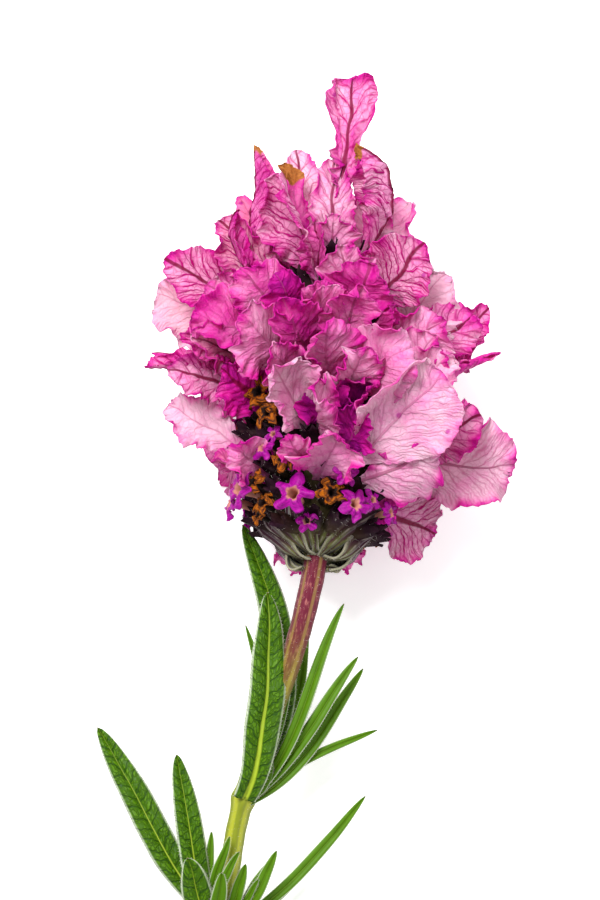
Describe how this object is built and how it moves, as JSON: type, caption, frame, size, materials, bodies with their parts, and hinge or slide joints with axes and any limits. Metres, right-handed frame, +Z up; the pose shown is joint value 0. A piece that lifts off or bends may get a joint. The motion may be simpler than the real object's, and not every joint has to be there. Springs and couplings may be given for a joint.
{
  "type": "cut lavender sprig",
  "caption": "Cut sprig of Spanish lavender lying on its side: frilled pink flower head, short arched stem and narrow green leaves.",
  "frame": {"origin": "on the surface it lies on, under the middle of its bounding box", "axes": "+Z up from the surface; +Y along the sprig from the cut end towards the flower head; +X to the right seen from above"},
  "size_m": [0.0472, 0.109, 0.0317],
  "materials": {
    "petal": "thin translucent pink petals with crimson veins and darker magenta ruffled rims",
    "base_bract": "woolly green and purple striped bracts with white hairs",
    "calyx": "dark plum-brown woolly calyces",
    "flower": "small deep violet flowers, some dried to orange-brown",
    "stem": "yellow-green squarish stem flushed purple near the head, finely hairy",
    "leaf": "matt green leaves with pale hairy rims, pale midrib and netted veins"
  },
  "bodies": {
    "root": {"base_bract_1": "base_bract", "base_bract_2": "base_bract", "base_bract_3": "base_bract", "base_bract_4": "base_bract", "base_bract_5": "base_bract", "calyx_spike": "calyx", "flower_1": "flower", "flower_2": "flower", "flower_3": "flower", "flower_4": "flower", "leaf_lower_1": "leaf", "leaf_lower_2": "leaf", "leaf_lower_3": "leaf", "leaf_lower_4": "leaf", "leaf_lower_5": "leaf", "leaf_lower_6": "leaf", "leaf_lower_7": "leaf", "leaf_upper_1": "leaf", "leaf_upper_2": "leaf", "leaf_upper_3": "leaf", "leaf_upper_4": "leaf", "leaf_upper_5": "leaf", "leaf_upper_6": "leaf", "leaf_upper_7": "leaf", "petal_crown_1": "petal", "petal_crown_2": "petal", "petal_crown_3": "petal", "petal_crown_4": "petal", "petal_crown_5": "petal", "petal_crown_6": "petal", "petal_front_1": "petal", "petal_front_2": "petal", "petal_front_3": "petal", "petal_front_4": "petal", "petal_front_5": "petal", "petal_front_6": "petal", "petal_front_7": "petal", "petal_left_1": "petal", "petal_left_2": "petal", "petal_left_3": "petal", "petal_left_4": "petal", "petal_left_5": "petal", "petal_left_6": "petal", "petal_left_7": "petal", "petal_left_8": "petal", "petal_right_1": "petal", "petal_right_2": "petal", "petal_right_3": "petal", "petal_right_4": "petal", "petal_right_5": "petal", "petal_right_6": "petal", "petal_right_7": "petal", "petal_right_8": "petal", "petal_under_1": "petal", "petal_under_2": "petal", "petal_under_3": "petal", "petal_under_4": "petal", "petal_under_5": "petal", "petal_under_6": "petal", "stem": "stem"}
  },
  "joints": []
}
